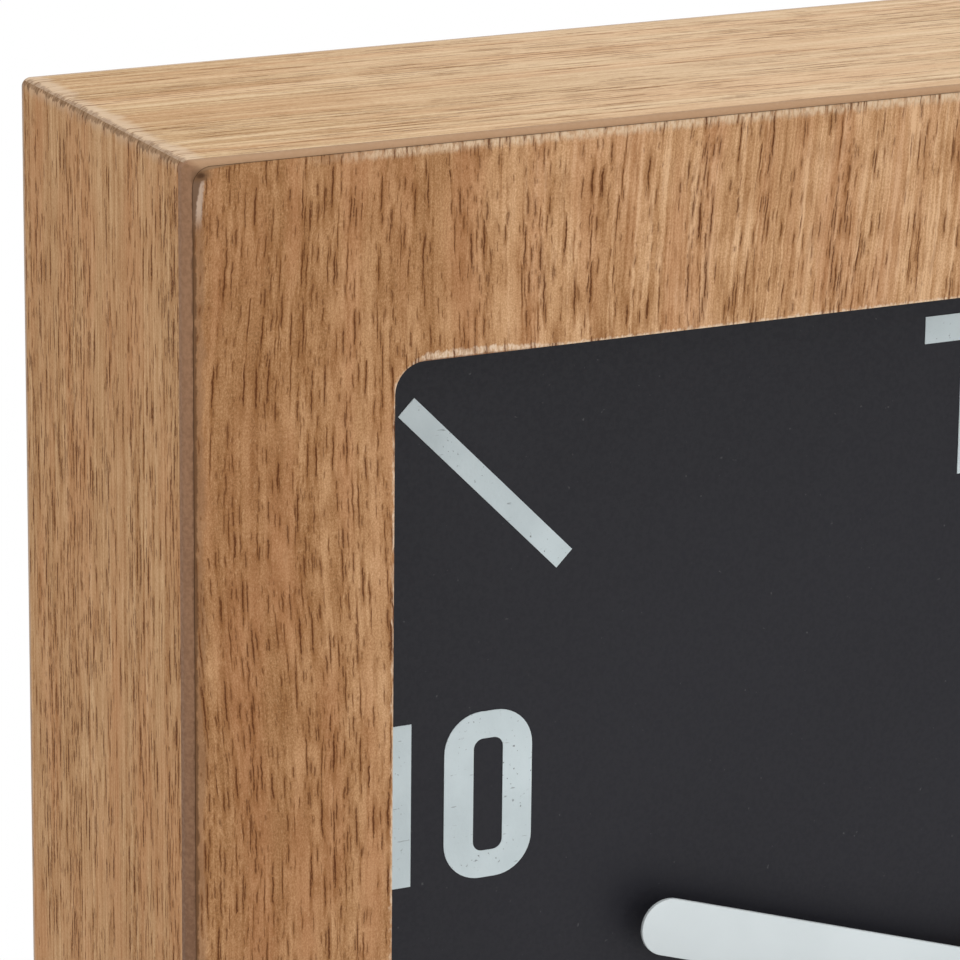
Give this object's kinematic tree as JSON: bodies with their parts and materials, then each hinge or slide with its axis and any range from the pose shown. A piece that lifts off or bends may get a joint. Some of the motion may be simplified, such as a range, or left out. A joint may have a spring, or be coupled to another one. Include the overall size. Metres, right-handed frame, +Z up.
{
  "type": "table_clock",
  "caption": "Square veneered wooden box clock with a recessed dark dial, plain hands and a battery quartz movement.",
  "frame": {"origin": "Centre of the bounding box's bottom face, on the table under the middle of the case.", "axes": "Z is up. The dial faces -Y and +Y points out of the back, along the shortest extent. X is the width."},
  "size_m": [0.25, 0.0486, 0.25],
  "materials": {
    "mdf_edge": "bare fibreboard, sanded and stained dark",
    "veneer_front": "open-pored veneer, oiled, grain upright",
    "veneer_side": "open-pored veneer, oiled, grain upright",
    "veneer_top": "fine-grained veneer, oiled, grain from left to right",
    "board": "bare fibreboard",
    "back_board": "brown hardboard, smooth face out",
    "screw_steel": "zinc plated",
    "dial_black": "matt black lacquer",
    "dial_print": "pale screen print",
    "hand_paint": "pale satin paint",
    "brass": "turned",
    "rubber": "matt",
    "shell_plastic": "moulded, fine texture",
    "knob_plastic": "moulded",
    "inner_plastic": "natural acetal",
    "wheel_plastic": "natural acetal",
    "wheel_amber": "natural amber acetal",
    "magnet": "sintered magnet",
    "soft_iron": "stamped",
    "copper_wire": "enamelled copper wire",
    "board_green": "solder mask",
    "chip_resin": "black resin drop",
    "bright_metal": "nickel plated",
    "battery_wrap": "printed film, plain"
  },
  "bodies": {
    "case": {"front_frame": "mdf_edge", "front_veneer": "veneer_front", "top_wall": "board", "right_wall": "board", "bottom_wall": "board", "left_wall": "board", "top_veneer": "veneer_top", "right_veneer": "veneer_side", "bottom_veneer": "veneer_top", "left_veneer": "veneer_side", "back_panel": "back_board", "back_screws": "screw_steel", "dial_board": "dial_black", "dial_numerals": "dial_print", "hour_bars": "dial_print", "dial_screws": "screw_steel", "rubber_washer": "rubber", "dial_washer": "brass", "fixing_nut": "brass", "threaded_bush": "brass", "movement_front": "shell_plastic", "movement_back": "shell_plastic", "middle_plate": "inner_plastic", "stator": "soft_iron", "coil_core": "soft_iron", "coil_bobbin": "inner_plastic", "coil_winding": "copper_wire", "circuit_board": "board_green", "circuit_chip": "chip_resin", "quartz_crystal": "bright_metal", "positive_contact": "bright_metal", "negative_contact": "bright_metal", "battery": "battery_wrap"},
    "minute_arbor": {"minute_shaft": "brass", "minute_hand": "hand_paint", "hand_cap": "hand_paint"},
    "hour_arbor": {"hour_wheel": "wheel_plastic", "hour_hand": "hand_paint"},
    "motion_arbor": {"motion_wheel": "wheel_plastic"},
    "knob_arbor": {"set_knob": "knob_plastic"},
    "centre_arbor": {"centre_wheel": "wheel_amber"},
    "third_arbor": {"third_wheel": "wheel_plastic"},
    "seconds_arbor": {"seconds_wheel": "wheel_plastic"},
    "intermediate_arbor": {"intermediate_wheel": "wheel_plastic"},
    "rotor_arbor": {"rotor": "wheel_plastic", "rotor_magnet": "magnet"}
  },
  "joints": [
    {"name": "minute_turn", "type": "hinge", "parent": "case", "child": "minute_arbor", "pos_m": [0, 0, 0.125], "axis": [0, 1, 0], "continuous": true},
    {"name": "hour_turn", "type": "hinge", "parent": "case", "child": "hour_arbor", "pos_m": [0, 0, 0.125], "axis": [0, 1, 0], "continuous": true},
    {"name": "motion_turn", "type": "hinge", "parent": "case", "child": "motion_arbor", "pos_m": [0.0048, 0.00645, 0.13331], "axis": [0, 1, 0], "continuous": true},
    {"name": "knob_turn", "type": "hinge", "parent": "case", "child": "knob_arbor", "pos_m": [0.01425, 0.01575, 0.13498], "axis": [0, 1, 0], "continuous": true},
    {"name": "rotor_turn", "type": "hinge", "parent": "case", "child": "rotor_arbor", "pos_m": [-0.01232, 0.01275, 0.13619], "axis": [0, 1, 0], "continuous": true},
    {"name": "intermediate_turn", "type": "hinge", "parent": "case", "child": "intermediate_arbor", "pos_m": [-0.0049, 0.01275, 0.13349], "axis": [0, 1, 0], "continuous": true},
    {"name": "seconds_turn", "type": "hinge", "parent": "case", "child": "seconds_arbor", "pos_m": [0, 0.01125, 0.125], "axis": [0, 1, 0], "continuous": true},
    {"name": "third_turn", "type": "hinge", "parent": "case", "child": "third_arbor", "pos_m": [-0.00945, 0.00975, 0.12333], "axis": [0, 1, 0], "continuous": true},
    {"name": "centre_turn", "type": "hinge", "parent": "case", "child": "centre_arbor", "pos_m": [0, 0.00855, 0.125], "axis": [0, 1, 0], "continuous": true}
  ],
  "couplings": [
    {"joint": "hour_turn", "follows": "minute_turn", "ratio": 0.083333},
    {"joint": "motion_turn", "follows": "minute_turn", "ratio": -0.33333},
    {"joint": "knob_turn", "follows": "minute_turn", "ratio": 1},
    {"joint": "intermediate_turn", "follows": "rotor_turn", "ratio": -0.2},
    {"joint": "seconds_turn", "follows": "rotor_turn", "ratio": 0.033333},
    {"joint": "third_turn", "follows": "rotor_turn", "ratio": -0.0044444},
    {"joint": "centre_turn", "follows": "rotor_turn", "ratio": 0.00055556}
  ]
}
